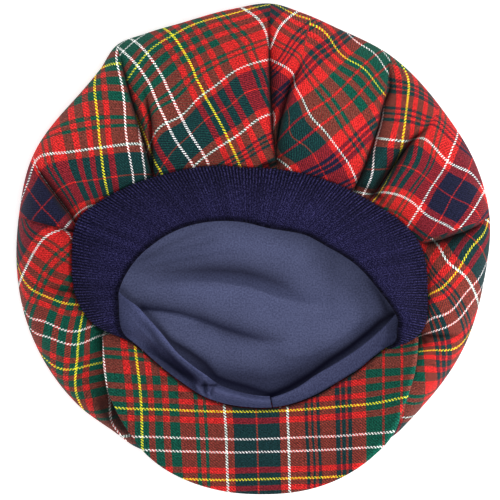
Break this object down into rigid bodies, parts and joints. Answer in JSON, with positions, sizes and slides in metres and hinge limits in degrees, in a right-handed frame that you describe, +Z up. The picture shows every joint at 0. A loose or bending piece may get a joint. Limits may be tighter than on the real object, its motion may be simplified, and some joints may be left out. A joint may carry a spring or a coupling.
{
  "type": "baker boy cap",
  "caption": "Soft baker boy cap lying upside down on its full panelled crown, with a knitted band round a lined opening and a short stiff peak that slopes up at the front.",
  "frame": {"origin": "middle of the bottom of the cap's box, on the surface that the crown lies on", "axes": "+Z up out of the opening, +Y to the back of the cap, -Y to the peak"},
  "size_m": [0.285, 0.2942, 0.0741],
  "materials": {
    "tartan": "woven twill check in red, green and navy with white and yellow lines",
    "rib_knit": "matte rib knit",
    "facing": "smooth lining cloth, slight sheen",
    "lining": "smooth satin lining"
  },
  "bodies": {
    "root": {"crown_panel_right_upper": "tartan", "crown_panel_back_right": "tartan", "crown_panel_back_left": "tartan", "crown_panel_left_upper": "tartan", "crown_panel_left_lower": "tartan", "crown_panel_front_left": "tartan", "crown_panel_front_right": "tartan", "crown_panel_right_lower": "tartan", "peak": "tartan", "knit_band": "rib_knit", "front_strip_left": "facing", "front_strip_right": "facing", "lining": "lining"}
  },
  "joints": []
}
